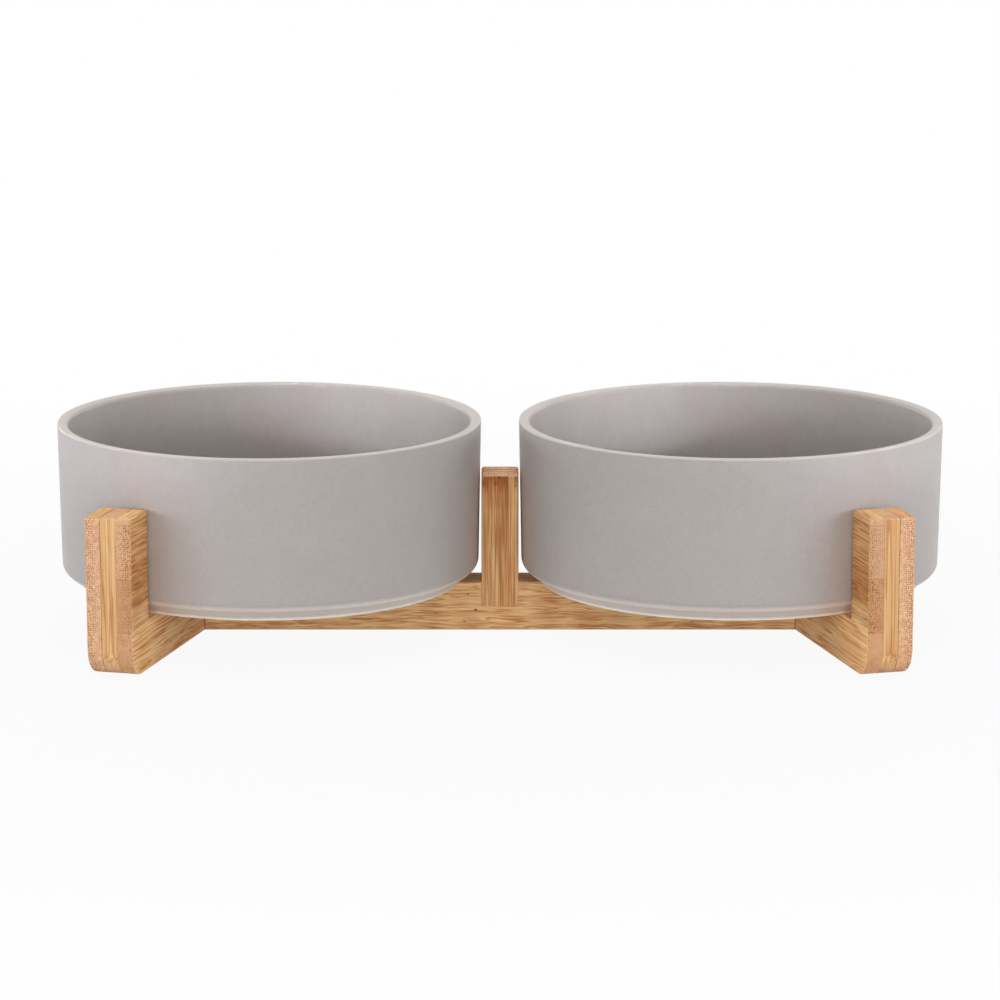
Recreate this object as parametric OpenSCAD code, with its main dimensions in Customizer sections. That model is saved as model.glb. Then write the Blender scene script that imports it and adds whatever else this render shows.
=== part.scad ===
// Double pet bowl: two round stoneware bowls that stand in a laminated bamboo stand.
// Origin at the centre of the footprint on the floor, +X along the rail, +Z up.

/* [Bowls] */
// Diameter of a bowl at its rim
bowl_d = 155; // [130:1:180]
// Height of a bowl from its foot to its rim
bowl_h = 59.6; // [50:0.2:75]
// Thickness of a bowl's wall
wall_t = 4; // [3.5:0.1:6]
// Radius of the rim's outer edge
rim_outer_r = 0.6; // [0.3:0.1:1.3]
// Radius of the rim's inner edge
rim_inner_r = 1.8; // [1:0.1:2.2]
// How much narrower, per side, the wall is at its lower corner than at the rim
wall_taper = 0.9; // [0:0.1:2]
// Thickness of a bowl's floor over the recess in its foot
floor_t = 4.6; // [3.5:0.1:7]
// Radius of the rounded corner under the wall
corner_r = 4.1; // [3:0.1:6]
// Radius of the hollow where the inside wall meets the inside floor
hollow_r = 11; // [8:0.5:20]
// Height of the sloping band between the foot and the corner
band_h = 4.2; // [3:0.1:6]
// How far the foot lies inside the ridge at the top of the band, per side
band_inset = 4.3; // [3:0.1:6]
// Width of the ring that a bowl stands on
foot_ring_w = 5.5; // [4:0.1:8]
// Depth of the recess inside the foot ring
foot_recess = 1.6; // [1:0.1:2.5]
// Height of the bare edge round the foot
foot_edge_h = 0.6; // [0.4:0.1:1]

/* [Stand] */
// Thickness of the laminated board that every member is cut from
board_t = 17; // [14:0.5:20]
// Height of the rail and of the flat arms
rail_h = 18; // [15:0.5:24]
// Height of the uprights above the floor
stand_h = 57.6; // [48:0.2:66]
// How far the centre post stands above the uprights
post_rise = 0.5; // [0:0.1:3]
// Width of the centre post
post_w = 13.6; // [10:0.2:18]
// Length of each upright along its arm
upright_l = 17.5; // [14:0.5:22]
// Radius of the outer bottom corner of each arm
heel_r = 10; // [4:0.5:12]
// Angle of the arms to the front-to-back direction
arm_splay = 15; // [5:1:25]
// Angle round each bowl, from straight ahead, at which an upright stands
upright_bearing = 30.7; // [26:0.1:36]
// How far the rail runs past the arms at each end
rail_over = 3; // [1:0.5:6]
// Clearance between the bowls' rims and the post or an upright, seen from above
side_clear = 0.1; // [0.05:0.05:1]

/* [Dowels] */
// Diameter of the dowels
dowel_d = 5; // [4:0.5:5]
// Depth of each dowel in an arm
dowel_in_arm = 11.5; // [8:0.5:13]
// Depth of the post's dowel in the post
dowel_in_post = 14; // [10:1:20]
// Depth of the post's dowel in the rail
dowel_in_rail = 6; // [4:0.5:7]

/* [Hidden] */
$fn = 96;

// Colours
glaze = [0.66, 0.63, 0.61];
bamboo_face = [0.82, 0.62, 0.40];
bamboo_core = [0.72, 0.53, 0.34];
dowel_wood = [0.88, 0.76, 0.58];

// Overrun of a cut past the face that it leaves
overrun = 1;

// Bowl outline, as radii and as heights above the foot
rim_r = bowl_d / 2;
corner_wall_r = rim_r - wall_taper;
// Angle that the corner's arc turns through before it ends in the ridge
ridge_turn = 70;
corner_z = band_h + corner_r * sin(ridge_turn);
ridge_r = corner_wall_r - corner_r + corner_r * cos(ridge_turn);
foot_r = ridge_r - band_inset;
floor_z = foot_recess + floor_t;
inside_low_r = corner_wall_r - wall_t;
hollow_z = floor_z + hollow_r;
recess_r = foot_r - foot_ring_w;
arc_steps = 10;

// Places of the stand's members
bowl_x = rim_r + side_clear + post_w / 2;
ply_t = board_t / 3;
notch_z = rail_h / 2;
post_top_z = stand_h + post_rise;
upright_reach = rim_r + side_clear;
upright_corner = [
    -bowl_x - upright_reach * sin(upright_bearing),
    -upright_reach * cos(upright_bearing)
];
// Run of an arm's inner side from the upright's inner corner to the rail's face
arm_run = (-upright_corner[1] - board_t / 2) / cos(arm_splay);
arm_l = upright_l + arm_run;
// The arm's inner and outer sides where they meet the rail's face
butt_inner_x = upright_corner[0] + arm_run * sin(arm_splay);
butt_outer_x = butt_inner_x - board_t / cos(arm_splay);
rail_end_x = -butt_outer_x + rail_over;
// The arm dowels keep to the width that the arm still covers at their ends
dowel_x = (dowel_in_arm * tan(arm_splay) - butt_outer_x - butt_inner_x) / 2;
dowel_z_shares = [0.28, 0.72];

// Points of a round stretch from one angle to another
function arc(centre_r, centre_z, r, from, to) = [
    for (i = [0:arc_steps])
        let (a = from + (to - from) * i / arc_steps)
        [centre_r + r * cos(a), centre_z + r * sin(a)]
];

// Cross-section of a bowl from its axis outwards
module bowl_outline() {
    polygon(concat(
        [[0, foot_recess], [recess_r, foot_recess]],
        [[recess_r, 0], [foot_r, 0], [foot_r, foot_edge_h]],
        arc(corner_wall_r - corner_r, corner_z, corner_r, -ridge_turn, 0),
        arc(rim_r - rim_outer_r, bowl_h - rim_outer_r, rim_outer_r, 0, 90),
        arc(rim_r - wall_t + rim_inner_r, bowl_h - rim_inner_r, rim_inner_r, 90, 180),
        arc(inside_low_r - hollow_r, hollow_z, hollow_r, 0, -90),
        [[0, floor_z]]
    ));
}

module bowl(side) {
    color(glaze)
    translate([side * bowl_x, 0, rail_h])
    rotate_extrude()
    bowl_outline();
}

// A straight block from one corner to the opposite one
module block(low, high) {
    translate(low)
    cube(high - low);
}

// Holes that the two dowels of one rail end fill, or the dowels themselves
module arm_dowel_pair(side) {
    for (share = dowel_z_shares)
        translate([side * dowel_x, 0, rail_h * share])
        rotate([90, 0, 0])
        cylinder(d = dowel_d, h = board_t + 2 * dowel_in_arm, center = true);
}

module post_dowel_pin() {
    translate([0, 0, notch_z - dowel_in_rail])
    cylinder(d = dowel_d, h = dowel_in_rail + dowel_in_post);
}

// One ply of the rail: layer -1 is the front ply, 0 the core and 1 the rear ply
module rail_ply(layer, tint) {
    color(tint)
    difference() {
        block(
            [-rail_end_x, (layer - 0.5) * ply_t, 0],
            [rail_end_x, (layer + 0.5) * ply_t, rail_h]
        );
        block(
            [-post_w / 2, (layer - 0.5) * ply_t - overrun, notch_z],
            [post_w / 2, (layer + 0.5) * ply_t + overrun, rail_h + overrun]
        );
        for (side = [-1, 1])
            arm_dowel_pair(side);
        post_dowel_pin();
    }
}

module post_ply(layer, tint) {
    color(tint)
    difference() {
        block(
            [-post_w / 2, (layer - 0.5) * ply_t, notch_z],
            [post_w / 2, (layer + 0.5) * ply_t, post_top_z]
        );
        post_dowel_pin();
    }
}

// Side view of an arm: the upright's outer face at 0, the flat arm running to the right
module arm_outline() {
    difference() {
        union() {
            square([upright_l, stand_h]);
            square([arm_l + board_t * tan(arm_splay) + overrun, rail_h]);
        }
        difference() {
            translate([-overrun, -overrun])
            square(heel_r + overrun);
            translate([heel_r, heel_r])
            circle(r = heel_r);
        }
    }
}

// One ply of the front left arm: layer 0 faces the post, 1 is the core, 2 faces outwards
module front_left_ply(layer) {
    difference() {
        translate([upright_corner[0], upright_corner[1], 0])
        rotate([0, 0, 90 - arm_splay])
        translate([-upright_l, layer * ply_t, 0])
        rotate([90, 0, 0])
        mirror([0, 0, 1])
        linear_extrude(height = ply_t)
        arm_outline();
        block(
            [-rail_end_x - board_t, -board_t / 2, -overrun],
            [0, board_t, stand_h + overrun]
        );
        arm_dowel_pair(-1);
    }
}

// The four arms mirror the front left one
module arm_ply(end, side, layer, tint) {
    color(tint)
    mirror([side > 0 ? 1 : 0, 0, 0])
    mirror([0, end > 0 ? 1 : 0, 0])
    front_left_ply(layer);
}

module bowl_left() bowl(-1);
module bowl_right() bowl(1);

module rail_front_ply() rail_ply(-1, bamboo_face);
module rail_core_ply() rail_ply(0, bamboo_core);
module rail_rear_ply() rail_ply(1, bamboo_face);

module post_front_ply() post_ply(-1, bamboo_face);
module post_core_ply() post_ply(0, bamboo_core);
module post_rear_ply() post_ply(1, bamboo_face);

module front_left_arm_outer_ply() arm_ply(-1, -1, 2, bamboo_face);
module front_left_arm_core_ply() arm_ply(-1, -1, 1, bamboo_core);
module front_left_arm_inner_ply() arm_ply(-1, -1, 0, bamboo_face);

module front_right_arm_outer_ply() arm_ply(-1, 1, 2, bamboo_face);
module front_right_arm_core_ply() arm_ply(-1, 1, 1, bamboo_core);
module front_right_arm_inner_ply() arm_ply(-1, 1, 0, bamboo_face);

module rear_left_arm_outer_ply() arm_ply(1, -1, 2, bamboo_face);
module rear_left_arm_core_ply() arm_ply(1, -1, 1, bamboo_core);
module rear_left_arm_inner_ply() arm_ply(1, -1, 0, bamboo_face);

module rear_right_arm_outer_ply() arm_ply(1, 1, 2, bamboo_face);
module rear_right_arm_core_ply() arm_ply(1, 1, 1, bamboo_core);
module rear_right_arm_inner_ply() arm_ply(1, 1, 0, bamboo_face);

module arm_dowels() {
    color(dowel_wood)
    for (side = [-1, 1])
        arm_dowel_pair(side);
}

module post_dowel() {
    color(dowel_wood)
    post_dowel_pin();
}

bowl_left();
bowl_right();
rail_front_ply();
rail_core_ply();
rail_rear_ply();
post_front_ply();
post_core_ply();
post_rear_ply();
front_left_arm_outer_ply();
front_left_arm_core_ply();
front_left_arm_inner_ply();
front_right_arm_outer_ply();
front_right_arm_core_ply();
front_right_arm_inner_ply();
rear_left_arm_outer_ply();
rear_left_arm_core_ply();
rear_left_arm_inner_ply();
rear_right_arm_outer_ply();
rear_right_arm_core_ply();
rear_right_arm_inner_ply();
arm_dowels();
post_dowel();
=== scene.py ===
import bpy
import bmesh
import math
from mathutils import Matrix, Vector


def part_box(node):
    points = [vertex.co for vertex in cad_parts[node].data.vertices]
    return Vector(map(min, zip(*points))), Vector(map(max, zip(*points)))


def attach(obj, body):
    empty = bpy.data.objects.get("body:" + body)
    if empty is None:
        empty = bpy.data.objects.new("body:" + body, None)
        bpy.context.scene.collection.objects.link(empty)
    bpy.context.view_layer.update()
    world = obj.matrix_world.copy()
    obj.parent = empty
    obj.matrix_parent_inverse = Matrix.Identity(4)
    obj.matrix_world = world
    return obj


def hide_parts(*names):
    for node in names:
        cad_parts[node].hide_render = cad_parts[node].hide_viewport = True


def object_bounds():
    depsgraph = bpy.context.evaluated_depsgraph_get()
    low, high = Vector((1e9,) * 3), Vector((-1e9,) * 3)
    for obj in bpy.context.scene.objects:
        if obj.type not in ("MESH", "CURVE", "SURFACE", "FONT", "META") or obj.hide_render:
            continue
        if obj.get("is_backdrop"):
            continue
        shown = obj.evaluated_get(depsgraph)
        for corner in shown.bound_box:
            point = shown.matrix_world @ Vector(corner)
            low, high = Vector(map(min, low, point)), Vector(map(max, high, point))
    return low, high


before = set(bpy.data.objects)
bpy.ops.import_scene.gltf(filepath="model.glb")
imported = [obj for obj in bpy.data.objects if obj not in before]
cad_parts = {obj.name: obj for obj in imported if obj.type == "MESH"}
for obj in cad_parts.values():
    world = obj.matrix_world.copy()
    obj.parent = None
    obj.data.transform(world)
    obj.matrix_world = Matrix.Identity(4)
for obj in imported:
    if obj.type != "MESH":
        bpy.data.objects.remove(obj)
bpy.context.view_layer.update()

# Lengths are in millimetres, apart from those of the floor, the lamps and the camera. They become
# metres where a mesh or a material is made.
MM = 0.001


def size_of(*nodes):
    """Lowest and highest corner of some CAD nodes together, in millimetres."""
    boxes = [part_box(n) for n in nodes]
    low = [min(b[0][i] for b in boxes) / MM for i in range(3)]
    high = [max(b[1][i] for b in boxes) / MM for i in range(3)]
    return low, high


rail_low, rail_high = size_of("rail_front_ply", "rail_core_ply", "rail_rear_ply")
post_low, post_high = size_of("post_front_ply", "post_core_ply", "post_rear_ply")
bowl_low, bowl_high = size_of("bowl_left")

RAIL_END = rail_high[0]
RAIL_H = rail_high[2]
BOARD_T = rail_high[1] - rail_low[1]
PLY_T = BOARD_T / 3
POST_W = post_high[0] - post_low[0]
NOTCH_Z = post_low[2]
STAND_H = size_of("front_left_arm_core_ply")[1][2]
POST_TOP_Z = post_high[2]
RIM_R = (bowl_high[1] - bowl_low[1]) / 2
BOWL_H = bowl_high[2] - bowl_low[2]
BOWL_X = -(bowl_low[0] + bowl_high[0]) / 2

# Sizes of the arms, of a bowl's outline and of a dowel, as in the part's source
SPLAY = math.radians(15)
UPRIGHT_L = 17.5
UPRIGHT_BEARING = math.radians(30.7)
HEEL_R = 10.0
SIDE_CLEAR = 0.1
WALL_T = 4.0
RIM_OUTER_R = 0.6
RIM_INNER_R = 1.8
WALL_TAPER = 0.9
FLOOR_T = 4.6
CORNER_R = 4.1
HOLLOW_R = 11.0
BAND_H = 4.2
BAND_INSET = 4.3
FOOT_RING_W = 5.5
FOOT_RECESS = 1.6
FOOT_EDGE_H = 0.6
RIDGE_TURN = math.radians(70)
DOWEL_R = 2.5

# Radius of a ply's open edges, of its edges at a glue line, and of a board's corners
EASE = 0.75
SEAM = 0.035
CORNER = 0.95
# The share of an edge's radius that is left where one board is glued to another
TIGHT = 0.16
# Steps on an eased edge, round a corner and round an arm's heel
EASE_STEPS = 4
CORNER_STEPS = 4
HEEL_STEPS = 22
# A stretch of an outline shorter than this is shaded smooth, as on a rounded corner
CURVE_STEP = 1.5
# The post's edges are tight until just below the rail's top, and fully eased just above it
POST_TIGHT_TO = RAIL_H - 0.2
POST_EASED_FROM = RAIL_H + 1.2
# An arm's points this close to its end are moved to lie on the rail's face
ARM_END_REACH = 1.0
# Places that differ by less than this count as the same
CLOSE = 0.01
# How much wider a dowel's hole is than the dowel, in radius, and the steps round it
BORE_CLEAR = 0.02
BORE_STEPS = 40

# How high the recess in a bowl's foot arches in the middle and halfway out, and its level edge
RECESS_ARCH = 0.25
RECESS_ARCH_HALFWAY = 0.12
RECESS_LEVEL = 1.2
# Roundings of the foot, and how far its bare clay ends behind and under the glaze's edge
RECESS_ROUND = 0.8
FOOT_ROUND = 0.3
BARE_INSET = 0.05
BARE_BELOW = 0.1
# Between these heights the bowl's unevenness up and down sets in
LIFT_FROM = 20
LIFT_FULL = 50
# Steps round a bowl, and the rows into which its wall and its inside are divided
BOWL_STEPS = 224
WALL_ROWS = 12
INSIDE_ROWS = 10

# The front left upright's edge nearest to its bowl, and the arm's length from there to the rail
ARM_CORNER = Vector((
    -BOWL_X - (RIM_R + SIDE_CLEAR) * math.sin(UPRIGHT_BEARING),
    -(RIM_R + SIDE_CLEAR) * math.cos(UPRIGHT_BEARING),
    0,
))
ARM_RUN = (-ARM_CORNER.y - BOARD_T / 2) / math.cos(SPLAY)
ARM_L = UPRIGHT_L + ARM_RUN

X = Vector((1, 0, 0))
Y = Vector((0, 1, 0))
Z = Vector((0, 0, 1))


class Graph:
    """Builds a material or a node group. Inputs may be numbers, tuples or other nodes' outputs."""

    # A mix node has sockets for each kind of data: these are the colours'
    MIX_A = 6
    MIX_B = 7
    MIX_OUT = 2

    def __init__(self, tree):
        self.tree = tree

    def put(self, kind, inputs=None, **props):
        n = self.tree.nodes.new(kind)
        for key, value in props.items():
            setattr(n, key, value)
        for key, value in (inputs or {}).items():
            self.set(n.inputs[key], value)
        return n

    def set(self, socket, value):
        if isinstance(value, bpy.types.NodeSocket):
            self.tree.links.new(value, socket)
        elif value is not None:
            socket.default_value = value

    def math(self, op, a, b=None):
        return self.put("ShaderNodeMath", {0: a, 1: b}, operation=op).outputs[0]

    def add(self, a, b):
        return self.math("ADD", a, b)

    def sub(self, a, b):
        return self.math("SUBTRACT", a, b)

    def mul(self, a, b):
        return self.math("MULTIPLY", a, b)

    def div(self, a, b):
        return self.math("DIVIDE", a, b)

    def most(self, a, b):
        return self.math("MAXIMUM", a, b)

    def size(self, a):
        return self.math("ABSOLUTE", a)

    def less(self, share):
        """What is left of 1 without a share."""
        return self.math("SUBTRACT", 1.0, share)

    def vec(self, op, a, b=None, scale=None):
        n = self.put("ShaderNodeVectorMath", {0: a, 1: b}, operation=op)
        if scale is not None:
            self.set(n.inputs["Scale"], scale)
        return n.outputs["Value" if op in ("DOT_PRODUCT", "LENGTH") else "Vector"]

    def tint(self, colour, factor):
        """colour times a number."""
        return self.vec("SCALE", colour, scale=factor)

    def xyz(self, x, y, z):
        return self.put("ShaderNodeCombineXYZ", {0: x, 1: y, 2: z}).outputs[0]

    def split(self, v):
        return self.put("ShaderNodeSeparateXYZ", {0: v}).outputs

    def in_mm(self, v):
        return self.vec("SCALE", v, scale=1 / MM)

    def span(self, value, low, high, to_low, to_high, **props):
        """A map of value, held at its ends. It is straight unless props says otherwise."""
        return self.put(
            "ShaderNodeMapRange",
            {"Value": value, "From Min": low, "From Max": high, "To Min": to_low, "To Max": to_high},
            **props,
        ).outputs[0]

    def step(self, value, low, high, to_low=0.0, to_high=1.0):
        """A smooth step of value from low to high. It falls where low is the higher of the two."""
        return self.span(value, low, high, to_low, to_high, interpolation_type="SMOOTHSTEP")

    def noise(self, vector, scale=1.0, detail=2.0, rough=0.5):
        return self.put(
            "ShaderNodeTexNoise",
            {"Vector": vector, "Scale": scale, "Detail": detail, "Roughness": rough},
        ).outputs[0]

    def cells(self, vector, scale=1.0, randomness=1.0):
        """Distance to the nearest cell centre, and that cell's random number."""
        n = self.put(
            "ShaderNodeTexVoronoi", {"Vector": vector, "Scale": scale, "Randomness": randomness}
        )
        return n.outputs["Distance"], self.split(n.outputs["Color"])[0]

    def draw(self, number):
        """A random number that depends on number alone."""
        return self.put("ShaderNodeTexWhiteNoise", {"W": number}, noise_dimensions="1D").outputs[0]

    def mix(self, share, a, b):
        n = self.put(
            "ShaderNodeMix", {"Factor": share, self.MIX_A: a, self.MIX_B: b},
            data_type="RGBA", clamp_factor=True,
        )
        return n.outputs[self.MIX_OUT]

    def seen(self):
        """1 where the camera sees a surface, straight, mirrored or through something clear."""
        ray = self.put("ShaderNodeLightPath").outputs
        indirect = self.most(ray["Is Glossy Ray"], ray["Is Transmission Ray"])
        return self.most(ray["Is Camera Ray"], indirect)


def srgb(r, g, b):
    """Linear colour, with alpha, of an sRGB one given in 0 to 255."""
    def lin(v):
        v /= 255
        return v / 12.92 if v <= 0.04045 else ((v + 0.055) / 1.055) ** 2.4
    return (lin(r), lin(g), lin(b), 1.0)


def new_material(name):
    mat = bpy.data.materials.new(name)
    mat.use_nodes = True
    mat.node_tree.nodes.clear()
    return mat, Graph(mat.node_tree)


def finish_material(g, colour, roughness, height, bump_mm, specular):
    bump = g.put("ShaderNodeBump", {"Height": height, "Distance": bump_mm * MM, "Strength": 1.0})
    shader = g.put("ShaderNodeBsdfPrincipled", {
        "Base Color": colour,
        "Roughness": roughness,
        "Specular IOR Level": specular,
        "Normal": bump.outputs[0],
    })
    out = g.put("ShaderNodeOutputMaterial")
    g.tree.links.new(shader.outputs[0], out.inputs[0])


# Colours of bamboo: the first of a pair is for faces along the grain, the second for end grain
PALE_WOOD = srgb(251, 210, 152), srgb(242, 199, 162)
DEEP_WOOD = srgb(212, 147, 84), srgb(217, 166, 126)
BUNDLE_WOOD = srgb(174, 90, 38), srgb(150, 84, 46)
VEIN = srgb(180, 92, 40)
NODE_BAND = srgb(166, 88, 38)
NODE_SPOT = srgb(96, 50, 26)
RED_CLOUD = srgb(202, 118, 58)
STRIP_SEAM = srgb(120, 74, 40)
DARK_GLUE = srgb(66, 38, 20)
# Painted highlight on eased edges, partly lighter worn wood
EDGE_HIGHLIGHT_AND_WEAR = srgb(240, 200, 150)

# How far fibres wander, from one side to the other, where Wave is 1
WANDER_UP = 4
WANDER_THROUGH = 2.5
# Distance from one bundle of fibres to the next, through the ply and up it, and how soft a bundle's
# rim is as a share of that
BUNDLE_THROUGH = 0.72
BUNDLE_UP = 0.76
BUNDLE_SOFT = 0.12
# Steps from one strip's seed to the next one's, and from a strip's first draw to its second
STRIP_STEP = 7.31
SECOND_DRAW = 3.7
# How far a strip's pattern is shifted along the grain at most, in the pattern's own units
STRIP_JUMP = 40
# How far the nodes of strips scatter along the grain, and how far each node's band strays
NODE_SCATTER = 9
NODE_STRAY = 3
# How bright the wood is at tone 1, and the powers of a darker tone that its red, green and blue take
TONE_GAIN = 1.05
TONE_POWERS = -0.2, 0.4, 1.2

# The bamboo's inputs, with what they are where a ply doesn't say
BAMBOO_INPUTS = {
    "Along": 0, "Through": 0, "Up": 0, "Seed": 0, "Crowd": 0.5, "Wave": 0.3, "End grain": 0,
    "Node at": 1000, "Node width": 2.5, "Strip": 20, "Strip from": 0, "Glue": 0, "Edge": 0, "Tone and shade": 1,
    "Dash": 16, "Dashes": 1, "Strip tone": 0.1, "Streaks": 1, "Node tone": 0.3, "Lines": 0.4,
    "Line run": 0.014,
}


def bamboo_group():
    """Laminated bamboo. Along is the grain's direction, Through the ply's thickness and Up the
    direction in which its strips are stacked, all in millimetres."""
    tree = bpy.data.node_groups.new("bamboo", "ShaderNodeTree")
    face = tree.interface
    for name, default in BAMBOO_INPUTS.items():
        socket = face.new_socket(name, in_out="INPUT", socket_type="NodeSocketFloat")
        socket.default_value = default
    face.new_socket("Colour", in_out="OUTPUT", socket_type="NodeSocketColor")
    face.new_socket("Roughness", in_out="OUTPUT", socket_type="NodeSocketFloat")
    face.new_socket("Height", in_out="OUTPUT", socket_type="NodeSocketFloat")
    g = Graph(tree)
    i = g.put("NodeGroupInput").outputs
    along, through, up, seed = i["Along"], i["Through"], i["Up"], i["Seed"]
    end = i["End grain"]
    on_face = g.less(end)

    # Places in the ply, each direction times the number of features in a millimetre
    def in_ply(along_rate, through_rate, up_rate):
        return g.xyz(
            g.mul(along, along_rate), g.mul(through, through_rate), g.add(g.mul(up, up_rate), seed)
        )

    # Fibres wander a little from straight
    wander = g.sub(g.noise(in_ply(0.055, 0.2, 0.16), detail=2), 0.5)
    up_w = g.add(up, g.mul(wander, g.mul(i["Wave"], WANDER_UP)))
    wander = g.sub(g.noise(
        g.xyz(g.mul(along, 0.04), g.add(g.mul(through, 0.2), seed), g.mul(up, 0.2)), detail=1
    ), 0.5)
    through_w = g.add(through, g.mul(wander, g.mul(i["Wave"], WANDER_THROUGH)))

    # Strips glued side by side, each from another cane
    strip_at = g.div(g.sub(up, i["Strip from"]), i["Strip"])
    in_strip = g.mul(g.math("FRACT", strip_at), i["Strip"])
    strip_id = g.add(g.mul(g.math("FLOOR", strip_at), STRIP_STEP), seed)
    strip_draw = g.sub(g.draw(g.add(strip_id, SECOND_DRAW)), 0.5)
    jump = g.mul(g.draw(strip_id), STRIP_JUMP)
    seam = g.math("MINIMUM", in_strip, g.sub(i["Strip"], in_strip))
    seam = g.less(g.step(seam, 0.02, 0.14))

    # Bundles of fibres: dots across the grain and dashes along it
    bundle, pick = g.cells(g.xyz(
        g.add(g.div(along, i["Dash"]), jump), g.div(through_w, BUNDLE_THROUGH), g.div(up_w, BUNDLE_UP)
    ), randomness=0.45)
    radius = g.add(0.22, g.mul(i["Crowd"], 0.2))
    bundles = g.less(g.step(bundle, g.sub(radius, BUNDLE_SOFT), g.add(radius, BUNDLE_SOFT)))
    bundles = g.mul(bundles, g.span(pick, 0.1, 0.8, 0.4, 1.0))
    bundles = g.mul(bundles, g.add(g.mul(i["Dashes"], on_face), end))

    # Places among the fibres, which the strips shift along the grain
    def in_fibres(along_rate, through_rate, up_rate):
        return g.xyz(
            g.add(g.mul(along, along_rate), jump), g.mul(through_w, through_rate), g.mul(up_w, up_rate)
        )

    # Long streaks of tone, dark veins, clouds, and the finest fibres
    streak = g.noise(in_fibres(0.011, 0.5, 0.55), detail=3, rough=0.6)
    thin = g.noise(in_fibres(0.03, 1.5, 1.7), detail=2, rough=0.6)
    fibre = g.noise(g.xyz(g.mul(along, 0.12), g.mul(through_w, 5.0), g.mul(up_w, 5.5)), detail=1)
    vein = g.noise(in_fibres(i["Line run"], 0.6, 0.75), detail=2, rough=0.55)
    vein = g.step(g.size(g.sub(vein, 0.5)), 0.055, 0.008)
    vein = g.mul(g.mul(vein, i["Lines"]), on_face)
    cloud = g.noise(in_ply(0.05, 0.15, 0.12), detail=2)

    # The node of the cane, a narrow dotted band across the strip
    node_at = g.add(i["Node at"], g.mul(strip_draw, NODE_SCATTER))
    stray = g.add(g.mul(g.sub(cloud, 0.5), NODE_STRAY), g.mul(g.sub(thin, 0.5), i["Node width"]))
    off = g.size(g.sub(g.add(along, stray), node_at))
    node = g.mul(g.step(off, i["Node width"], 0.0), on_face)
    spot, pick = g.cells(in_ply(0.38, 0.5, 0.5))
    spots = g.mul(g.less(g.step(spot, 0.12, 0.34)), g.step(pick, 0.35, 0.6))
    spots = g.mul(spots, g.step(node, 0.05, 0.5))

    shade = g.step(g.add(g.mul(streak, 0.5), g.mul(thin, 0.5)), 0.38, 0.62)
    colour = g.mix(g.mul(shade, i["Streaks"]), g.mix(end, *PALE_WOOD), g.mix(end, *DEEP_WOOD))
    dots = g.mul(g.add(0.34, g.mul(i["Crowd"], 0.4)), g.add(1.0, g.mul(end, 0.6)))
    colour = g.mix(g.mul(bundles, dots), colour, g.mix(end, *BUNDLE_WOOD))
    colour = g.mix(vein, colour, VEIN)
    colour = g.mix(g.mul(node, i["Node tone"]), colour, NODE_BAND)
    colour = g.mix(g.mul(spots, 0.75), colour, NODE_SPOT)
    colour = g.mix(g.mul(g.step(cloud, 0.5, 0.72), 0.22), colour, RED_CLOUD)
    colour = g.tint(colour, g.add(0.93, g.mul(fibre, 0.14)))
    colour = g.tint(colour, g.add(1.0, g.mul(strip_draw, i["Strip tone"])))
    colour = g.mix(g.mul(seam, 0.4), colour, STRIP_SEAM)
    colour = g.mix(i["Glue"], colour, DARK_GLUE)
    # Eased edges are lightened: a painted highlight, partly wear
    colour = g.mix(g.mul(i["Edge"], 0.4), colour, EDGE_HIGHLIGHT_AND_WEAR)
    # Darker wood, and wood in painted shade, is also redder
    colour = g.tint(colour, g.mul(i["Tone and shade"], TONE_GAIN))
    depth = g.math("MINIMUM", i["Tone and shade"], 1.0)
    colour = g.vec("MULTIPLY", colour, g.xyz(*(g.math("POWER", depth, p) for p in TONE_POWERS)))

    rough = g.add(g.span(thin, 0.3, 0.7, 0.54, 0.68), g.mul(bundles, 0.08))
    height = g.add(g.mul(fibre, 0.35), g.mul(thin, 0.3))
    height = g.sub(height, g.mul(bundles, 0.4))
    height = g.sub(height, g.add(g.mul(seam, 0.5), g.mul(spots, 0.6)))
    height = g.sub(height, i["Glue"])
    g.put("NodeGroupOutput", {"Colour": colour, "Roughness": rough, "Height": height})
    return tree


BAMBOO = bamboo_group()

# A glue line between plies: solid up to the first depth, gone at the second
GLUE_DEPTHS = 0.03, 0.24
# The glue at an arm's end: solid up to the first distance from the rail, gone at the second, and how
# dark it is
JOINT_DEPTHS = 0.6, 1.4
JOINT_GLUE = 0.8
# How softly a band of tone and painted shade begins on faces along the grain and on end grain
BAND_SOFT = 1.2
END_BAND_SOFT = 0.1
# Bundles stand closer towards a ply's open side
CROWD_LEAST = 0.15
CROWD_RISE = 0.75
# Step that keeps one ply's dots apart from another's
SEED_STEP = 3.1


def tone_and_painted_shade(g, height, bands, soft):
    """A tone that starts at 1 and changes at each height of bands by its share. Besides the wood's own
    tone, it holds painted light and shade.
    """
    tone = 1.0
    for start, change in bands:
        tone = g.add(tone, g.step(height, start - soft, start + soft, 0.0, change))
    return tone


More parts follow.
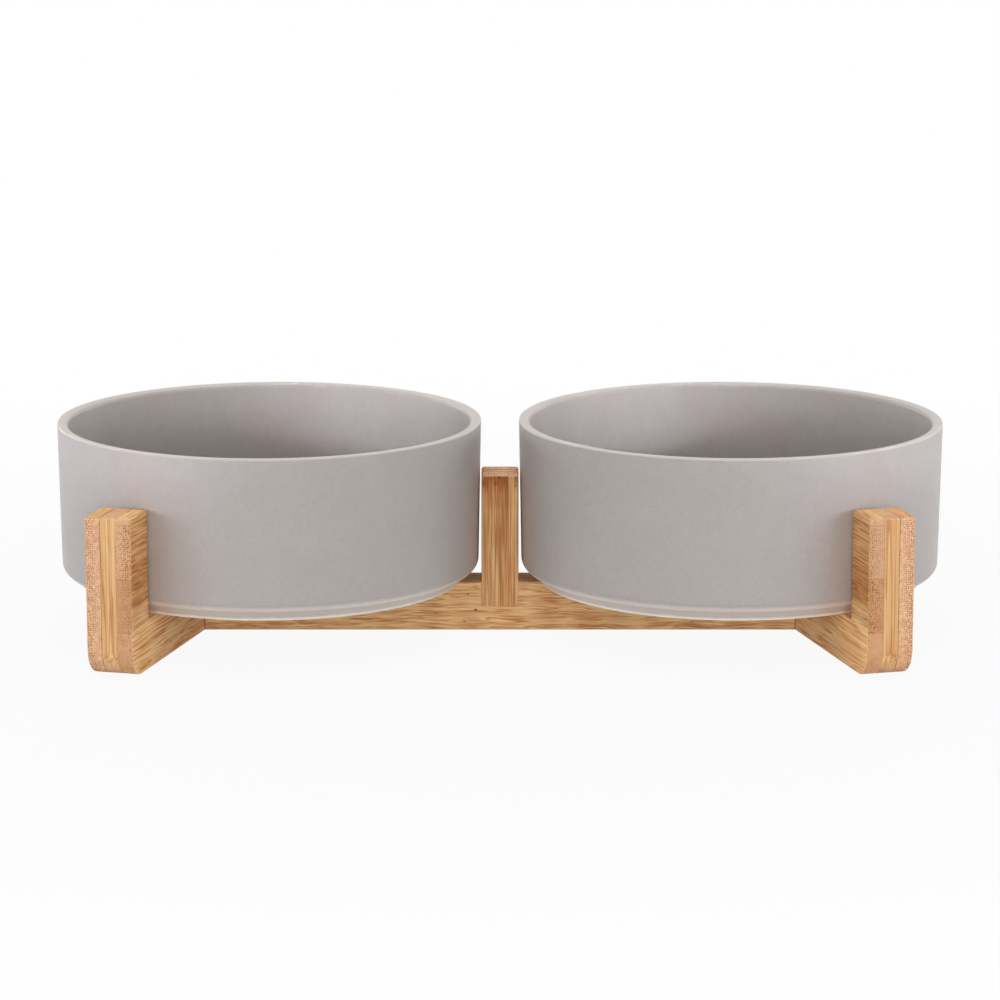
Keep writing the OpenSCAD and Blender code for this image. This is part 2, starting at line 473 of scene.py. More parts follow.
def bamboo(
    name, origin, grain, through, up, seed, faces, joint_y=None, bands=(), end_bands=(), **settings
):
    """A ply's own bamboo. origin and the three directions set its grain. faces says what each side
    of its thickness is: open is 1 where the face shows, and glue how dark the glue line is. joint_y
    is how far from the rail's middle a glued end lies. bands gives the heights at
    which the tone of the faces along the grain changes, with the change, and
    end_bands does so for end grain. These changes are partly the wood's own tone
    and partly painted light and shade."""
    mat, g = new_material(name)
    where = g.put("ShaderNodeTexCoord").outputs
    at = g.vec("SUBTRACT", where["Object"], tuple(origin * MM))

    def way(direction):
        return g.mul(g.vec("DOT_PRODUCT", at, tuple(direction)), 1 / MM)

    a, t, u = way(grain), way(through), way(up)
    end = g.size(g.vec("DOT_PRODUCT", where["Normal"], tuple(grain)))
    end = g.step(end, 0.35, 0.8)
    (low_open, low_glue), (high_open, high_glue) = faces
    crowd = g.span(
        t, 0, PLY_T, CROWD_LEAST + CROWD_RISE * low_open, CROWD_LEAST + CROWD_RISE * high_open
    )
    patch = g.noise(g.xyz(g.mul(a, 0.07), seed, g.mul(u, 0.07)), detail=1)
    patch = g.span(patch, 0.35, 0.62, 0.25, 1.0)
    solid, gone = GLUE_DEPTHS
    low_line = g.mul(g.less(g.step(t, solid, gone)), low_glue)
    high_line = g.mul(g.step(t, PLY_T - gone, PLY_T - solid), high_glue)
    glue = g.mul(g.add(low_line, high_line), patch)
    _, y, z = g.split(g.in_mm(where["Object"]))
    if joint_y is not None:
        solid, gone = JOINT_DEPTHS
        joint = g.step(g.size(y), joint_y + gone, joint_y + solid)
        glue = g.most(glue, g.mul(joint, JOINT_GLUE))
    # The tone by height is partly the wood's own and partly painted light and shade
    tone = g.add(
        g.mul(tone_and_painted_shade(g, z, bands, BAND_SOFT), g.less(end)),
        g.mul(tone_and_painted_shade(g, z, end_bands, END_BAND_SOFT), end),
    )
    # The edge attribute carries the eased edges' painted highlight and wear
    edge = g.put("ShaderNodeAttribute", attribute_name="edge").outputs["Fac"]
    wood = g.put("ShaderNodeGroup", node_tree=BAMBOO)
    values = {
        "Along": a, "Through": g.add(t, seed * SEED_STEP), "Up": u, "Seed": float(seed),
        "Crowd": crowd, "End grain": end, "Glue": glue, "Edge": edge, "Tone and shade": tone,
    }
    values.update(settings)
    for key, value in values.items():
        g.set(wood.inputs[key], value)
    colour, rough, height = wood.outputs
    finish_material(g, colour, rough, height, bump_mm=0.05, specular=0.2)
    return mat


# Colours of the bowls. Those of the glaze itself and of the bare clay vary between two.
GLAZE = srgb(188, 180, 176), srgb(188, 182, 178)
IRON_SPECK = srgb(112, 100, 92)
PALE_SPECK = srgb(226, 220, 214)
# Partly the glaze's own paleness and partly painted highlight, on the ridge and the lip
PALE_GLAZE_AND_HIGHLIGHT = srgb(242, 230, 222)
# Partly paler glaze and partly painted light from below, on the band under the ridge
PALE_BAND_AND_PAINTED_LIGHT = srgb(234, 220, 208)
# Partly the glaze's pale hem and partly painted highlight, where the glaze ends at the foot
HEM_AND_HIGHLIGHT = srgb(254, 244, 234)
BARE_CLAY = srgb(255, 249, 241), srgb(243, 234, 222)
# How far the edges of the thin glaze, and of the painted light near the foot, waver up and down
GLAZE_WAVER = 0.9
# Near the foot, a bowl's inside lies within the first radius and its outside past the second
OUTSIDE_FROM = RIM_R - 12, RIM_R - 10


def glaze():
    """Matt grey stoneware glaze with a fine speckle. It breaks paler where it runs thin. Near the
    foot and on the lip that paleness is partly painted highlight and painted light.
    """
    mat, g = new_material("bowl_glaze")
    at = g.in_mm(g.put("ShaderNodeTexCoord").outputs["Object"])
    x, y, z = g.split(at)
    radius = g.vec("LENGTH", g.xyz(x, y, 0.0))
    cloud = g.noise(at, 0.06, 3, 0.55)
    mottle = g.noise(at, 0.34, 3, 0.6)
    hue = g.noise(g.vec("ADD", at, (31.0, 7.0, 13.0)), 0.16, 2, 0.5)
    grain = g.noise(at, 1.2, 3, 0.65)
    colour = g.mix(g.step(hue, 0.35, 0.65), *GLAZE)
    colour = g.tint(colour, g.span(cloud, 0.3, 0.7, 0.98, 1.015))
    colour = g.tint(colour, g.span(mottle, 0.3, 0.7, 0.98, 1.02))
    colour = g.tint(colour, g.span(grain, 0.25, 0.75, 0.945, 1.055))
    # Speckle: iron specks, and paler ones between them
    near, pick = g.cells(at, 0.62)
    speck = g.mul(g.less(g.step(near, 0.10, 0.26)), g.step(pick, 0.72, 0.95))
    colour = g.mix(g.mul(speck, 0.15), colour, IRON_SPECK)
    near, pick = g.cells(g.vec("ADD", at, (5.3, 9.1, 2.7)), 0.5)
    pale = g.mul(g.less(g.step(near, 0.08, 0.3)), g.step(pick, 0.5, 0.85))
    colour = g.mix(g.mul(pale, 0.12), colour, PALE_SPECK)
    # Thin glaze on the ridge over the foot and on the lip, paler glaze on the band under the ridge,
    # and a pale hem where it ends at the foot. The ridge, lip and hem are partly painted highlight,
    # and the band partly painted light from below.
    height = g.add(z, g.mul(g.sub(mottle, 0.5), GLAZE_WAVER))
    outside = g.step(radius, *OUTSIDE_FROM)
    ridge = g.mul(
        g.step(height, BAND_H - 0.5, BAND_H + 0.1), g.step(height, BAND_H + 2.6, BAND_H + 0.8)
    )
    lip = g.step(z, BOWL_H - 0.9, BOWL_H - 0.2)
    thin = g.most(g.mul(g.mul(ridge, outside), 0.85), g.mul(lip, 0.4))
    colour = g.mix(thin, colour, PALE_GLAZE_AND_HIGHLIGHT)
    # The band under the ridge faces down; its paler glaze is partly painted light from below
    band = g.mul(g.step(height, BAND_H + 0.3, BAND_H - 0.8), outside)
    colour = g.mix(g.mul(band, 0.6), colour, PALE_BAND_AND_PAINTED_LIGHT)
    hem = g.mul(g.step(height, FOOT_EDGE_H + 1.0, FOOT_EDGE_H + 0.1), outside)
    colour = g.mix(g.mul(hem, 0.95), colour, HEM_AND_HIGHLIGHT)
    rough = g.add(g.span(mottle, 0.3, 0.7, 0.40, 0.48), g.mul(speck, 0.1))
    bump = g.add(g.mul(mottle, 0.5), g.add(g.mul(grain, 0.4), g.mul(cloud, 1.4)))
    bump = g.sub(bump, g.mul(speck, 0.35))
    finish_material(g, colour, rough, bump, bump_mm=0.06, specular=0.3)
    return mat


def bare_clay():
    """The unglazed foot: cream stoneware with a fine sandy grain."""
    mat, g = new_material("bare_clay")
    at = g.in_mm(g.put("ShaderNodeTexCoord").outputs["Object"])
    grain = g.noise(at, 2.4, 3, 0.65)
    cloud = g.noise(at, 0.12, 2, 0.5)
    colour = g.mix(g.step(grain, 0.35, 0.7), *BARE_CLAY)
    colour = g.tint(colour, g.span(cloud, 0.3, 0.7, 0.95, 1.04))
    rough = g.span(grain, 0.3, 0.7, 0.8, 0.95)
    finish_material(g, colour, rough, grain, bump_mm=0.08, specular=0.25)
    return mat


TURNED_WOOD = srgb(226, 200, 160), srgb(196, 160, 112)


def dowel_wood():
    """Pale turned wood, its grain from front to rear."""
    mat, g = new_material("dowel_wood")
    x, y, z = g.split(g.in_mm(g.put("ShaderNodeTexCoord").outputs["Object"]))
    lines = g.noise(g.xyz(g.mul(x, 1.6), g.mul(y, 0.08), g.mul(z, 1.6)), detail=3)
    colour = g.mix(g.step(lines, 0.35, 0.7), *TURNED_WOOD)
    rough = g.span(lines, 0.3, 0.7, 0.55, 0.7)
    finish_material(g, colour, rough, lines, bump_mm=0.05, specular=0.35)
    return mat


def link(name, data):
    obj = bpy.data.objects.new(name, data)
    bpy.context.scene.collection.objects.link(obj)
    return obj


def mesh_from(bm, name):
    """Turns a bmesh into a mesh and lets go of it."""
    mesh = bpy.data.meshes.new(name)
    bm.to_mesh(mesh)
    bm.free()
    return mesh


def arc(cx, cy, r, start, end, steps):
    """Points on an arc, with angles in radians."""
    turns = [start + (end - start) * k / steps for k in range(steps + 1)]
    return [(cx + r * math.cos(t), cy + r * math.sin(t)) for t in turns]


def bowl_profile():
    """Outline of a bowl from the middle of its underside, round the outside and the lip, to the
    middle of its inside floor: (radius, height over the foot). Also the first and the last of its
    points that are bare clay."""
    wall_r = RIM_R - WALL_TAPER
    corner_z = BAND_H + CORNER_R * math.sin(RIDGE_TURN)
    ridge_r = wall_r - CORNER_R + CORNER_R * math.cos(RIDGE_TURN)
    foot_r = ridge_r - BAND_INSET
    recess_r = foot_r - FOOT_RING_W
    floor_z = FOOT_RECESS + FLOOR_T
    inside_r = wall_r - WALL_T
    quarter = math.pi / 2
    # The recess in the foot is slightly arched
    points = [
        (0, FOOT_RECESS + RECESS_ARCH),
        (recess_r * 0.5, FOOT_RECESS + RECESS_ARCH_HALFWAY),
        (recess_r - RECESS_LEVEL, FOOT_RECESS),
    ]
    bare_first = len(points)
    points += arc(recess_r - RECESS_ROUND, FOOT_RECESS - RECESS_ROUND, RECESS_ROUND, quarter, 0, 5)
    points += arc(recess_r + FOOT_ROUND, FOOT_ROUND, FOOT_ROUND, 2 * quarter, 3 * quarter, 3)
    points += arc(foot_r - BARE_INSET - FOOT_ROUND, FOOT_ROUND, FOOT_ROUND, -quarter, 0, 4)
    bare_last = len(points)
    points.append((foot_r - BARE_INSET, FOOT_EDGE_H - BARE_BELOW))
    # The glaze ends in a small roll over the bare edge
    for out, rise in ((0.02, -0.02), (0.14, 0.06), (0.3, 0.25)):
        points.append((foot_r + out, FOOT_EDGE_H + rise))
    for share in (0.24, 0.38, 0.52, 0.66, 0.8):
        rise = (BAND_H - FOOT_EDGE_H) * share
        points.append((foot_r + (ridge_r - foot_r) * share, FOOT_EDGE_H + rise))
    points += arc(wall_r - CORNER_R, corner_z, CORNER_R, -RIDGE_TURN, 0, 12)[1:]
    outer_z = BOWL_H - RIM_OUTER_R
    inner_z = BOWL_H - RIM_INNER_R
    for k in range(1, WALL_ROWS):
        t = k / WALL_ROWS
        points.append((wall_r + WALL_TAPER * t, corner_z + (outer_z - corner_z) * t))
    points += arc(RIM_R - RIM_OUTER_R, outer_z, RIM_OUTER_R, 0, quarter, 8)
    rounding_r = RIM_R - WALL_T + RIM_INNER_R
    points.append(((RIM_R - RIM_OUTER_R + rounding_r) / 2, BOWL_H))
    points += arc(rounding_r, inner_z, RIM_INNER_R, quarter, 2 * quarter, 12)
    lip_r = RIM_R - WALL_T
    hollow_z = floor_z + HOLLOW_R
    for k in range(1, INSIDE_ROWS):
        t = k / INSIDE_ROWS
        points.append((lip_r + (inside_r - lip_r) * t, inner_z + (hollow_z - inner_z) * t))
    points += arc(inside_r - HOLLOW_R, hollow_z, HOLLOW_R, 0, -quarter, 16)
    for share in (0.85, 0.65, 0.45, 0.25, 0.1, 0.0):
        points.append(((inside_r - HOLLOW_R) * share, floor_z))
    return points, bare_first, bare_last


def hand_made(angle, radius, z, phase):
    """How far a bowl's surface strays from a true round, out and up. Neither is ever above 0."""
    if radius < 1:
        return 0.0, 0.0
    sway = math.sin(2 * angle + phase) + 0.6 * math.sin(3 * angle + 2.1 * phase)
    sway += 0.3 * math.sin(5 * angle + phase * 3)
    rings = math.sin(z * 0.55 + phase)
    rings += 0.6 * math.sin(z * 1.3 + 2 * phase + 0.3 * math.sin(angle))
    out = -0.07 + 0.026 * sway + 0.008 * rings
    lift = -0.045 + 0.02 * math.sin(2 * angle + 1.3 + phase) + 0.012 * math.sin(5 * angle + phase)
    # The foot stays level
    return out, lift * max(0.0, min(1.0, (z - LIFT_FROM) / (LIFT_FULL - LIFT_FROM)))


def make_bowl(name, centre_x, phase, materials):
    """A bowl at its place on the stand. The first material is its glaze, the second its bare clay."""
    profile, bare_first, bare_last = bowl_profile()
    bm = bmesh.new()
    rings = []
    for r, z in profile:
        if r == 0:
            rings.append([bm.verts.new((0, 0, z * MM))])
            continue
        ring = []
        for k in range(BOWL_STEPS):
            a = 2 * math.pi * k / BOWL_STEPS
            dr, dz = hand_made(a, r, z, phase)
            out = (r + dr) * MM
            ring.append(bm.verts.new((out * math.cos(a), out * math.sin(a), (z + dz) * MM)))
        rings.append(ring)
    for i, (low, high) in enumerate(zip(rings, rings[1:])):
        for k in range(BOWL_STEPS):
            k2 = (k + 1) % BOWL_STEPS
            corners = [low[k % len(low)], low[k2 % len(low)], high[k2 % len(high)], high[k % len(high)]]
            # A ring of one point gives two equal corners, of which one is kept
            f = bm.faces.new(list(dict.fromkeys(corners)))
            f.smooth = True
            f.material_index = 1 if bare_first <= i < bare_last else 0
    bmesh.ops.recalc_face_normals(bm, faces=bm.faces)
    mesh = mesh_from(bm, name)
    for m in materials:
        mesh.materials.append(m)
    obj = link(name, mesh)
    obj.location = (centre_x * MM, 0, bowl_low[2] * MM)
    return obj


def rounded(corners):
    """An outline from (x, y, radius, steps) corners. A corner is sharp where the radius is 0."""
    out = []
    for i, (x, y, r, steps) in enumerate(corners):
        p = Vector((x, y))
        if r == 0:
            out.append((x, y))
            continue
        a = (Vector(corners[i - 1][:2]) - p).normalized()
        b = (Vector(corners[(i + 1) % len(corners)][:2]) - p).normalized()
        half = a.angle(b) / 2
        centre = p + (a + b).normalized() * (r / math.sin(half))
        start = p + a * (r / math.tan(half)) - centre
        end = p + b * (r / math.tan(half)) - centre
        first = math.atan2(start.y, start.x)
        out += arc(centre.x, centre.y, r, first, first - start.angle_signed(end), steps)
    return out


def insets(outline):
    """For each point of an outline that runs anticlockwise, the move that takes the two sides beside
    it 1 mm inwards."""
    moves = []
    for i, point in enumerate(outline):
        p = Vector(point)
        before = (p - Vector(outline[i - 1])).normalized()
        after = (Vector(outline[(i + 1) % len(outline)]) - p).normalized()
        n1 = Vector((-before.y, before.x))
        total = n1 + Vector((-after.y, after.x))
        moves.append(total / total.dot(n1))
    return moves


def make_ply(name, outline, ease_of, low, ease_low, ease_high, place, material):
    """A ply: an outline drawn out from low, with its two rims eased by the given radii. ease_of
    gives the share of the easing at a point of the outline, across and up. place maps (u, v, w) to
    the frame, v being the thickness."""
    moves = insets(outline)
    shares = [ease_of(u, w) for u, w in outline]
    # Face plies get a painted highlight along their eased edges, which is partly wear
    is_face = max(ease_low, ease_high) > SEAM
    stack = []
    for base, ease, inwards in ((low, ease_low, 1), (low + PLY_T, ease_high, -1)):
        for k in range(EASE_STEPS + 1):
            turn = math.radians(90 * (k if inwards > 0 else EASE_STEPS - k) / EASE_STEPS)
            depth = inwards * ease * (1 - math.cos(turn))
            highlight_and_wear = math.sin(2 * turn) if is_face else 0.0
            stack.append((base, depth, ease * (1 - math.sin(turn)), highlight_and_wear))
    bm = bmesh.new()
    edge = bm.verts.layers.float.new("edge")
    rings = []
    for base, depth, inset, highlight_and_wear in stack:
        ring = []
        for (u, w), move, (su, sw) in zip(outline, moves, shares):
            share = max(su, sw)
            spot = place(u + move.x * inset * su, base + depth * share, w + move.y * inset * sw)
            vert = bm.verts.new(spot * MM)
            vert[edge] = highlight_and_wear * share
            ring.append(vert)
        rings.append(ring)
    count = len(outline)
    for i, (below, above) in enumerate(zip(rings, rings[1:])):
        for k in range(count):
            k2 = (k + 1) % count
            f = bm.faces.new([below[k], below[k2], above[k2], above[k]])
            # The band between the two eased rims is flat, apart from rounded corners
            on_curve = (Vector(outline[k]) - Vector(outline[k2])).length < CURVE_STEP
            f.smooth = i != EASE_STEPS or on_curve
    bm.faces.new(rings[0])
    bm.faces.new(list(reversed(rings[-1])))
    bmesh.ops.recalc_face_normals(bm, faces=bm.faces)
    mesh = mesh_from(bm, name)
    mesh.materials.append(material)
    return link(name, mesh)


def bore(targets, centre, direction, length):
    """Cuts a dowel's hole through some pieces."""
    bm = bmesh.new()
    radius = (DOWEL_R + BORE_CLEAR) * MM
    turn = direction.to_track_quat("Z", "Y").to_matrix().to_4x4()
    bmesh.ops.create_cone(
        bm, cap_ends=True, segments=BORE_STEPS, radius1=radius, radius2=radius, depth=length * MM,
        matrix=Matrix.Translation(Vector(centre) * MM) @ turn,
    )
    mesh = mesh_from(bm, "cutter")
    cutter = link("cutter", mesh)
    for piece in targets:
        mod = piece.modifiers.new("bore", "BOOLEAN")
        mod.operation = "DIFFERENCE"
        mod.solver = "EXACT"
        mod.object = cutter
    bpy.context.view_layer.update()
    depsgraph = bpy.context.evaluated_depsgraph_get()
    for piece in targets:
        cut = bpy.data.meshes.new_from_object(piece.evaluated_get(depsgraph))
        old = piece.data
        piece.modifiers.clear()
        piece.data = cut
        cut.name = old.name
        bpy.data.meshes.remove(old)
    bpy.data.objects.remove(cutter)
    bpy.data.meshes.remove(mesh)


# The stand's dressed plies, by the CAD node that each replaces
pieces = {}


def stand_ply(node, outline, ease_of, k, low, place, material):
    """The dressed ply for a CAD node. k is 0 or 2 for a member's face plies and 1 for its core."""
    ease_low = EASE if k == 0 else SEAM
    ease_high = EASE if k == 2 else SEAM
    obj = make_ply(node + "_look", outline, ease_of, low, ease_low, ease_high, place, material)
    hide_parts(node)
    pieces[node] = obj


def as_drawn(u, v, w):
    return Vector((u, v, w))


def rail_ease(u, w):
    in_notch = abs(u) < POST_W / 2 + CLOSE
    if in_notch and w > RAIL_H - CLOSE:
        return TIGHT, 1.0
    return (TIGHT, TIGHT) if in_notch else (1.0, 1.0)


def post_ease(u, w):
    return (TIGHT, TIGHT) if w < RAIL_H else (1.0, 1.0)


def arm_ease(u, w):
    return (TIGHT, 1.0) if u > ARM_L - CLOSE else (1.0, 1.0)


HALF_POST = POST_W / 2
rail_outline = rounded([
    (-RAIL_END, 0, CORNER, CORNER_STEPS), (RAIL_END, 0, CORNER, CORNER_STEPS),
    (RAIL_END, RAIL_H, CORNER, CORNER_STEPS), (HALF_POST, RAIL_H, 0, 0), (HALF_POST, NOTCH_Z, 0, 0),
    (-HALF_POST, NOTCH_Z, 0, 0), (-HALF_POST, RAIL_H, 0, 0), (-RAIL_END, RAIL_H, CORNER, CORNER_STEPS),
])
post_outline = rounded([
    (-HALF_POST, NOTCH_Z, 0, 0), (HALF_POST, NOTCH_Z, 0, 0),
    (HALF_POST, POST_TIGHT_TO, 0, 0), (HALF_POST, POST_EASED_FROM, 0, 0),
    (HALF_POST, POST_TOP_Z, CORNER, CORNER_STEPS), (-HALF_POST, POST_TOP_Z, CORNER, CORNER_STEPS),
    (-HALF_POST, POST_EASED_FROM, 0, 0), (-HALF_POST, POST_TIGHT_TO, 0, 0),
])
arm_outline = rounded([
    (0, 0, HEEL_R, HEEL_STEPS), (ARM_L, 0, 0, 0), (ARM_L, RAIL_H, 0, 0), (UPRIGHT_L, RAIL_H, 0, 0),
    (UPRIGHT_L, STAND_H, CORNER, CORNER_STEPS), (0, STAND_H, CORNER, CORNER_STEPS),
])

# How open each side of a member's three plies is, and how dark the glue on it. The middle's are for
# the rail and the post.
MIDDLE_FACES = ((1, 0.0), (0, 0.85)), ((0, 0.5), (0, 0.5)), ((0, 0.85), (1, 0.0))
ARM_FACES = ((1, 0.0), (0, 0.55)), ((0, 0.35), (0, 0.9)), ((0, 0.9), (1, 0.0))

# The look of each member's three plies, from the first side to the last
RAIL_FACE_WOOD = {
    "Wave": 0.8, "Dash": 14.0, "Dashes": 0.8, "Node at": -11.0, "Node width": 5.0, "Strip": 22.0,
    "Strip from": -2.0, "Streaks": 0.35, "Node tone": 0.08, "Lines": 0.55, "Line run": 0.04,
}
RAIL_WOOD = RAIL_FACE_WOOD, {"Strip": 19.0}, RAIL_FACE_WOOD
# The post darkens from 32 mm up as painted shade of the bowls. Its node settings give it a darker band
# with spots along its top.
POST_FACE_WOOD = {
    "Wave": 0.12, "Dash": 40.0, "Dashes": 0.7, "Node at": 60.0, "Node width": 7.0, "Strip": 2.4,
    "Strip from": -6.7, "Strip tone": 0.08, "Streaks": 0.6, "Node tone": 0.8, "Lines": 0.6,
    "bands": ((-2, 0.03), (32.0, -0.06), (46.0, -0.06)),
}
POST_WOOD = POST_FACE_WOOD, {"Strip": 20.0}, POST_FACE_WOOD
# The arms' tone by height is partly the wood's own and partly painted light and shade. The inner plies
# are lighter on the flat arm and darker from 18.3 to 41 mm up, where the bowls shade the uprights, and
# the end grain changes tone by height too.
ARM_WOOD = (
    {
        "Wave": 0.35, "Dash": 18.0, "Dashes": 0.8, "Strip": 19.3, "Strip from": -2.6,
        "Strip tone": 0.06, "Streaks": 0.4, "Lines": 0.7,
        "bands": ((-2, 0.22), (18.3, -0.27), (26.0, -0.24), (41.0, 0.15), (56.5, 0.1)),
        "end_bands": ((-1, -0.2), (16.7, -0.06), (36.0, 0.13)),
    },
    {
        "Wave": 0.12, "Dash": 45.0, "Dashes": 0.6, "Strip": 21.0, "Strip from": -4.0, "Lines": 0.55,
        "Streaks": 0.5, "bands": ((-2, -0.03),), "end_bands": ((57.0, -0.1),),
    },
    {
        "Wave": 0.35, "Dash": 18.0, "Dashes": 0.7, "Strip": 80.0, "Strip from": -10.0,
        "bands": ((56.5, -0.04),), "end_bands": ((-1, 0.06),),
    },
)
# Each ply's grain has a seed of its own
RAIL_SEED = 11
POST_SEED = 21
ARM_SEED = 31


def directions(k, main, other):
    """A ply's grain and the way its strips are stacked: the core's lie across the face plies'."""
    return (other, main) if k == 1 else (main, other)


# Rail and post: their plies run from front to rear
for k, layer in enumerate(("front", "core", "rear")):
    low = -BOARD_T / 2 + k * PLY_T
    for member, main, other, seed, wood, outline, ease_of in (
        ("rail", X, Z, RAIL_SEED, RAIL_WOOD, rail_outline, rail_ease),
        ("post", Z, X, POST_SEED, POST_WOOD, post_outline, post_ease),
    ):
        grain, stacked = directions(k, main, other)
        mat = bamboo(
            f"{member}_{layer}_bamboo", Vector((0, low, 0)), grain, Y, stacked, seed + k,
            MIDDLE_FACES[k], **wood[k],
        )
        stand_ply(f"{member}_{layer}_ply", outline, ease_of, k, low, as_drawn, mat)

# Turns an arm's own length, drawn along X, to where the front left arm points
TURN = Matrix.Rotation(math.pi / 2 - SPLAY, 3, "Z")


def arm_place(flip):
    """How points of an arm's outline are placed in the frame, for one of its mirror images."""
    def place(u, v, w):
        # The arm's end is cut flat to the rail's face
        if u > ARM_L - ARM_END_REACH:
            u -= v * math.tan(SPLAY)
        return flip @ (ARM_CORNER + TURN @ Vector((u - UPRIGHT_L, v, w)))
    return place


# Arms: the front left one, and its mirror images
for e, end in enumerate(("front", "rear")):
    for s, side in enumerate(("left", "right")):
        flip = Matrix.Diagonal((-1 if s else 1, -1 if e else 1, 1))
        place = arm_place(flip)
        for k, layer in enumerate(("inner", "core", "outer")):
            low = k * PLY_T
            grain, stacked = directions(k, flip @ (TURN @ X), Z)
            mat = bamboo(
                f"{end}_{side}_{layer}_bamboo", place(UPRIGHT_L, low, 0), grain, flip @ (TURN @ Y),
                stacked, ARM_SEED + 10 * e + 20 * s + 3 * k, ARM_FACES[k], BOARD_T / 2, **ARM_WOOD[k],
            )
            stand_ply(f"{end}_{side}_arm_{layer}_ply", arm_outline, arm_ease, k, low, place, mat)

for node, obj in pieces.items():
    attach(obj, "stand")

# The dowels' holes
pin_low, pin_high = size_of("arm_dowels")
pin_x = pin_high[0] - DOWEL_R
for s, side in ((-1, "left"), (1, "right")):
    crossed = [
        obj for node, obj in pieces.items() if node.startswith("rail") or f"_{side}_arm" in node
    ]
    for z in (pin_low[2] + DOWEL_R, pin_high[2] - DOWEL_R):
        bore(crossed, (s * pin_x, 0, z), Y, pin_high[1] - pin_low[1])
pin_low, pin_high = size_of("post_dowel")
bore(
    [pieces["rail_core_ply"], pieces["post_core_ply"]],
    (0, 0, (pin_low[2] + pin_high[2]) / 2), Z, pin_high[2] - pin_low[2],
)

turned_wood = dowel_wood()
for node in ("arm_dowels", "post_dowel"):
    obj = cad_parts[node]
    obj.data.materials.clear()
    obj.data.materials.append(turned_wood)

# Bowls, each with its own unevenness
bowl_materials = [glaze(), bare_clay()]
for node, body, x, phase in (
    ("bowl_left", "left_bowl", -BOWL_X, 0.4), ("bowl_right", "right_bowl", BOWL_X, 2.3)
):
    obj = make_bowl(node + "_look", x, phase, bowl_materials)
    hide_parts(node)
    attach(obj, body)

# The floor, in metres. It lies just under the part.
FLOOR_HALF = 8.0
FLOOR_Z = -0.0002
# Near the part a small share of the floor is lit and keeps its shadow. Further out it is white.
WHITE_FROM = 0.16
WHITE_TO = 0.55
WHITE_NEAR = 0.93
FLOOR_GREY = srgb(216, 216, 216), srgb(222, 222, 222)


def pale_floor():
    mat, g = new_material("pale_floor")
    where = g.put("ShaderNodeTexCoord").outputs["Object"]
    grain = g.noise(where, 900, 2)
    lit = g.put("ShaderNodeBsdfDiffuse", {"Color": g.mix(grain, *FLOOR_GREY)})
    white = g.put("ShaderNodeEmission", {"Color": (1, 1, 1, 1), "Strength": 1.0})
    away = g.step(g.vec("LENGTH", where), WHITE_FROM, WHITE_TO, WHITE_NEAR, 1.0)
    share = g.mul(g.seen(), away)
    mixed = g.put("ShaderNodeMixShader", {0: share, 1: lit.outputs[0], 2: white.outputs[0]})
    g.tree.links.new(mixed.outputs[0], g.put("ShaderNodeOutputMaterial").inputs[0])
    return mat


bm = bmesh.new()
bmesh.ops.create_grid(bm, x_segments=8, y_segments=8, size=FLOOR_HALF)
floor_mesh = mesh_from(bm, "floor")
floor_mesh.materials.append(pale_floor())
floor = link("floor", floor_mesh)
floor.location.z = FLOOR_Z
floor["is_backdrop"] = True

# The world is white where the camera sees it, and else a faint and slightly warm light
WORLD_LIGHT = 0.366
WORLD_COLOUR = (1.0, 0.985, 0.96, 1.0)
world = bpy.data.worlds.new("studio")
bpy.context.scene.world = world
world.use_nodes = True
g = Graph(world.node_tree)
g.tree.nodes.clear()
seen = g.seen()
back = g.put("ShaderNodeBackground", {
    "Color": g.mix(seen, WORLD_COLOUR, (1.0, 1.0, 1.0, 1.0)),
    "Strength": g.span(seen, 0, 1, WORLD_LIGHT, 1.0),
})
g.tree.links.new(back.outputs[0], g.put("ShaderNodeOutputWorld").inputs[0])

WHITE = (1, 1, 1)
COOL = (0.94, 1.0, 1.1)
# Where most lamps point, in metres
PART_MIDDLE = (0, 0, 0.03)


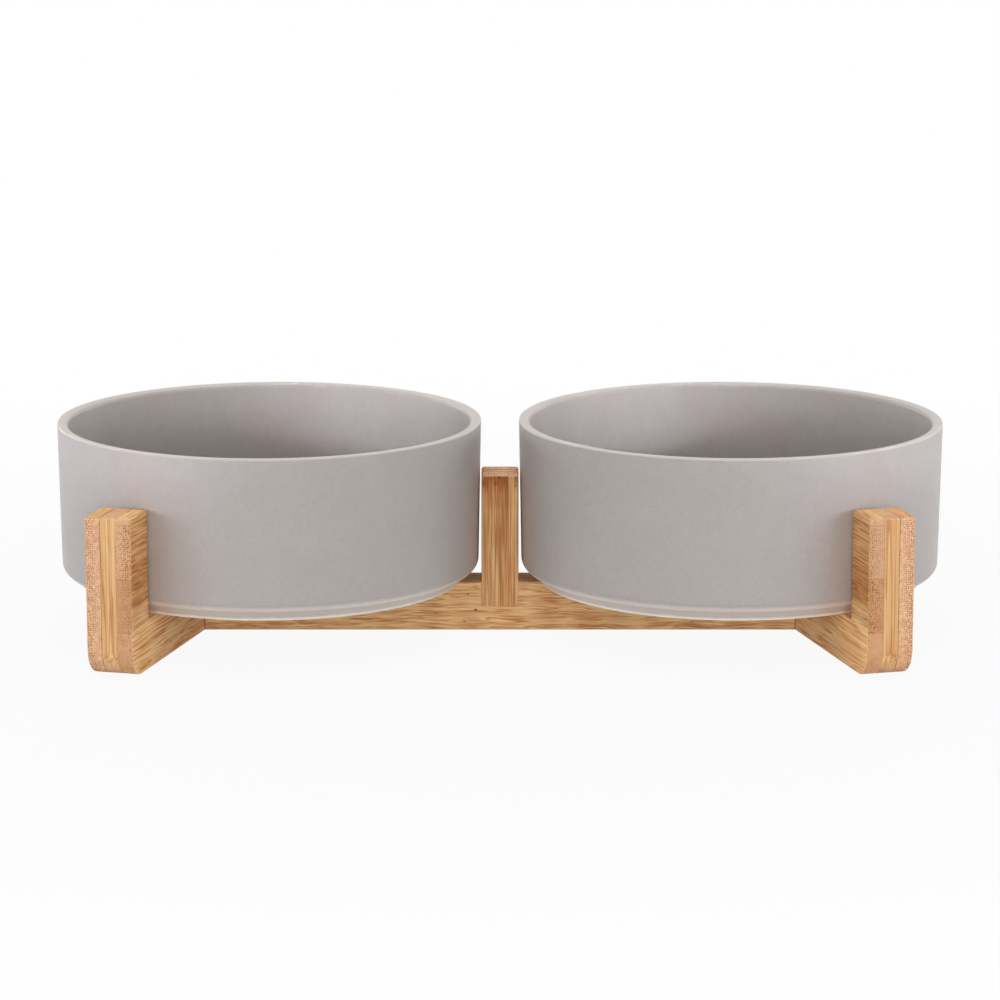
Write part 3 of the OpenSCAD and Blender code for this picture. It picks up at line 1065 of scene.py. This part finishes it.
def lamp(
    name, azimuth, elevation, distance, size, power, colour=WHITE, target=PART_MIDDLE, spread=180
):
    """A soft box, in degrees, metres and watts. azimuth is 0 in front of the part and 90 at its
    right."""
    light = bpy.data.lights.new(name, "AREA")
    light.spread = math.radians(spread)
    light.shape = "RECTANGLE"
    light.size, light.size_y = size
    light.energy = power
    light.color = colour
    obj = link(name, light)
    a = math.radians(azimuth)
    e = math.radians(elevation)
    out = Vector((math.sin(a) * math.cos(e), -math.cos(a) * math.cos(e), math.sin(e)))
    obj.location = Vector(target) + out * distance
    obj.rotation_mode = "QUATERNION"
    obj.rotation_quaternion = out.to_track_quat("Z", "Y")
    obj.visible_camera = False


for side in (-1, 1):
    lamp(f"key_{side}", side * 60, 8, 0.8, size=(0.3, 0.15), power=0.36, colour=COOL)
    lamp(f"fill_{side}", side * 40, 8, 0.9, size=(0.3, 0.15), power=0.373, colour=COOL)
    # Two narrow beams a side: one on the bowl's outer flank, one over its rim onto the far wall
    lamp(
        f"flank_{side}", side * 65, 10, 0.6, size=(0.12, 0.12), power=0.0052, colour=COOL,
        target=(side * 0.095, 0, 0.03), spread=16,
    )
    lamp(
        f"inner_{side}", side * 40, 10, 0.7, size=(0.08, 0.05), power=0.0054, colour=COOL,
        target=(side * 0.045, 0.06, 0.067), spread=7,
    )
    lamp(f"back_{side}", side * 130, 10, 2.0, size=(0.8, 0.4), power=6.5)
lamp("front", 0, 8, 2.0, size=(1.2, 0.3), power=8.8)
lamp("top", 0, 88, 1.2, size=(0.8, 0.6), power=5.2)

# The camera was fitted to the outlines in the photo: its place in metres, and its tilt downwards
CAMERA_PLACE = (0, -1.4846, 0.3559)
CAMERA_TILT = math.radians(11.75)
camera = bpy.data.cameras.new("camera")
camera.sensor_width = 36
camera.lens = 148.4
camera.clip_start = 0.05
camera.clip_end = 60
view = link("camera", camera)
view.location = CAMERA_PLACE
view.rotation_euler = (math.radians(90) - CAMERA_TILT, 0, 0)
bpy.context.scene.camera = view
bpy.context.scene.view_settings.view_transform = "Standard"

low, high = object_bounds()
